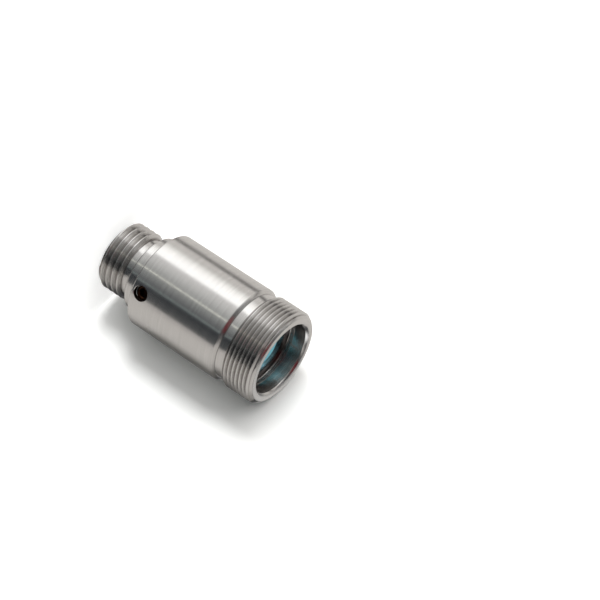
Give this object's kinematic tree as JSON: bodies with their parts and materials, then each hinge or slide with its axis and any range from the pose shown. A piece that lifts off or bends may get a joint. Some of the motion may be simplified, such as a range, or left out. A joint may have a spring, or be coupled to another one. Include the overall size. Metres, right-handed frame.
{
  "type": "fiber optic adapter",
  "caption": "Turned steel fibre adapter with threaded ends, a clamped sliding ferrule socket and a collimating lens held behind a bevelled ring.",
  "frame": {"origin": "middle of the rear end, on which the adapter stands", "axes": "+Z along the optical axis, from the fibre socket towards the lens; -Y out of the set screw's hole"},
  "size_m": [0.011, 0.011, 0.0224],
  "materials": {
    "barrel_steel": "fine turned",
    "socket_steel": "fine turned",
    "lens_glass": "polished, blue-green coating",
    "ring_steel": "fine turned",
    "cushion_rubber": "matt",
    "screw_steel": "blackened"
  },
  "bodies": {
    "socket": {"fibre_socket": "socket_steel"},
    "barrel": {"barrel": "barrel_steel", "collimating_lens": "lens_glass", "lens_retaining_ring": "ring_steel", "lens_cushion": "cushion_rubber"},
    "screw": {"set_screw": "screw_steel"}
  },
  "joints": [
    {"name": "focus_slide", "type": "slide", "parent": "socket", "child": "barrel", "axis": [0, 0, 1], "range_m": [-0.0004, 0.0004]},
    {"name": "screw_turn", "type": "hinge", "parent": "barrel", "child": "screw", "pos_m": [0, -0.00422, 0.0069], "axis": [0, -1, 0], "range_deg": [0, 360]}
  ]
}
